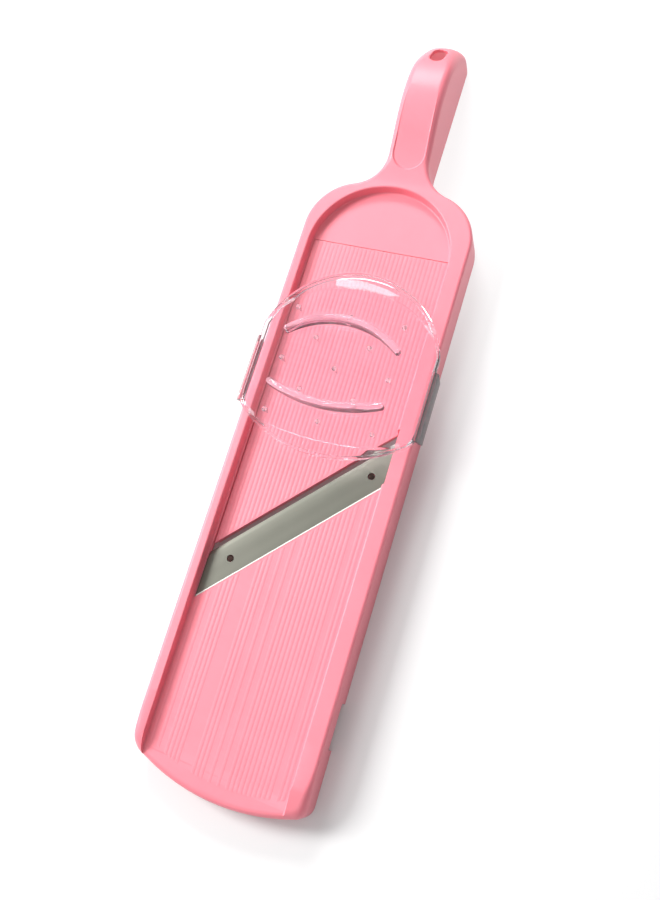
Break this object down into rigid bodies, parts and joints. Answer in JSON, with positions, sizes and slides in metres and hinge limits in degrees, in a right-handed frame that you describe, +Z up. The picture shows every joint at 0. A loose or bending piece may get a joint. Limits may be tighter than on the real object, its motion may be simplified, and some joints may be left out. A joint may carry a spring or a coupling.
{
  "type": "mandoline slicer",
  "caption": "Long flat mandoline slicer with arched handle, ribbed deck, diagonal steel blade, hinged infeed plate set by an underside dial, and a sliding clear hand guard.",
  "frame": {"origin": "centre of the bounding box in plan, at the lower edge of the side walls that it lies on", "axes": "+Y along the board from the outfeed end to the handle, +Z up out of the slicing surface, +X across to the right"},
  "size_m": [0.0966, 0.4154, 0.0333],
  "materials": {
    "pink_plastic": "satin moulded",
    "blade_steel": "fine brushed",
    "dark_steel": "dark",
    "zinc_steel": "bright plated",
    "white_plastic": "fine matt",
    "clear_plastic": "clear polished"
  },
  "bodies": {
    "frame": {"frame": "pink_plastic", "hinge_rod": "zinc_steel", "rod_clip_left": "zinc_steel", "rod_clip_right": "zinc_steel", "blade": "blade_steel", "blade_screw_left": "dark_steel", "blade_screw_right": "dark_steel", "bridge": "white_plastic", "bridge_screw_1": "zinc_steel", "bridge_screw_2": "zinc_steel", "bridge_screw_3": "zinc_steel", "bridge_screw_4": "zinc_steel", "detent_ball": "zinc_steel", "detent_spring": "zinc_steel"},
    "infeed": {"infeed_plate": "pink_plastic", "follower_pin": "zinc_steel"},
    "dial": {"dial_knob": "white_plastic", "cam_disc": "white_plastic", "dial_washer": "zinc_steel", "dial_screw": "zinc_steel"},
    "guard": {"hand_guard": "clear_plastic"}
  },
  "joints": [
    {"name": "guard_slide", "type": "slide", "parent": "frame", "child": "guard", "axis": [0, 1, 0], "range_m": [-0.155, 0.05]},
    {"name": "dial_turn", "type": "hinge", "parent": "frame", "child": "dial", "pos_m": [-0.0015, 0.01575, 0.005], "axis": [0, 0, 1], "range_deg": [-90, 180]},
    {"name": "infeed_tilt", "type": "hinge", "parent": "frame", "child": "infeed", "pos_m": [0, 0.07315, 0.0093], "axis": [1, 0, 0], "range_deg": [-0.37, 0.73]}
  ],
  "couplings": [
    {"joint": "infeed_tilt", "follows": "dial_turn", "ratio": 0.0040191}
  ]
}
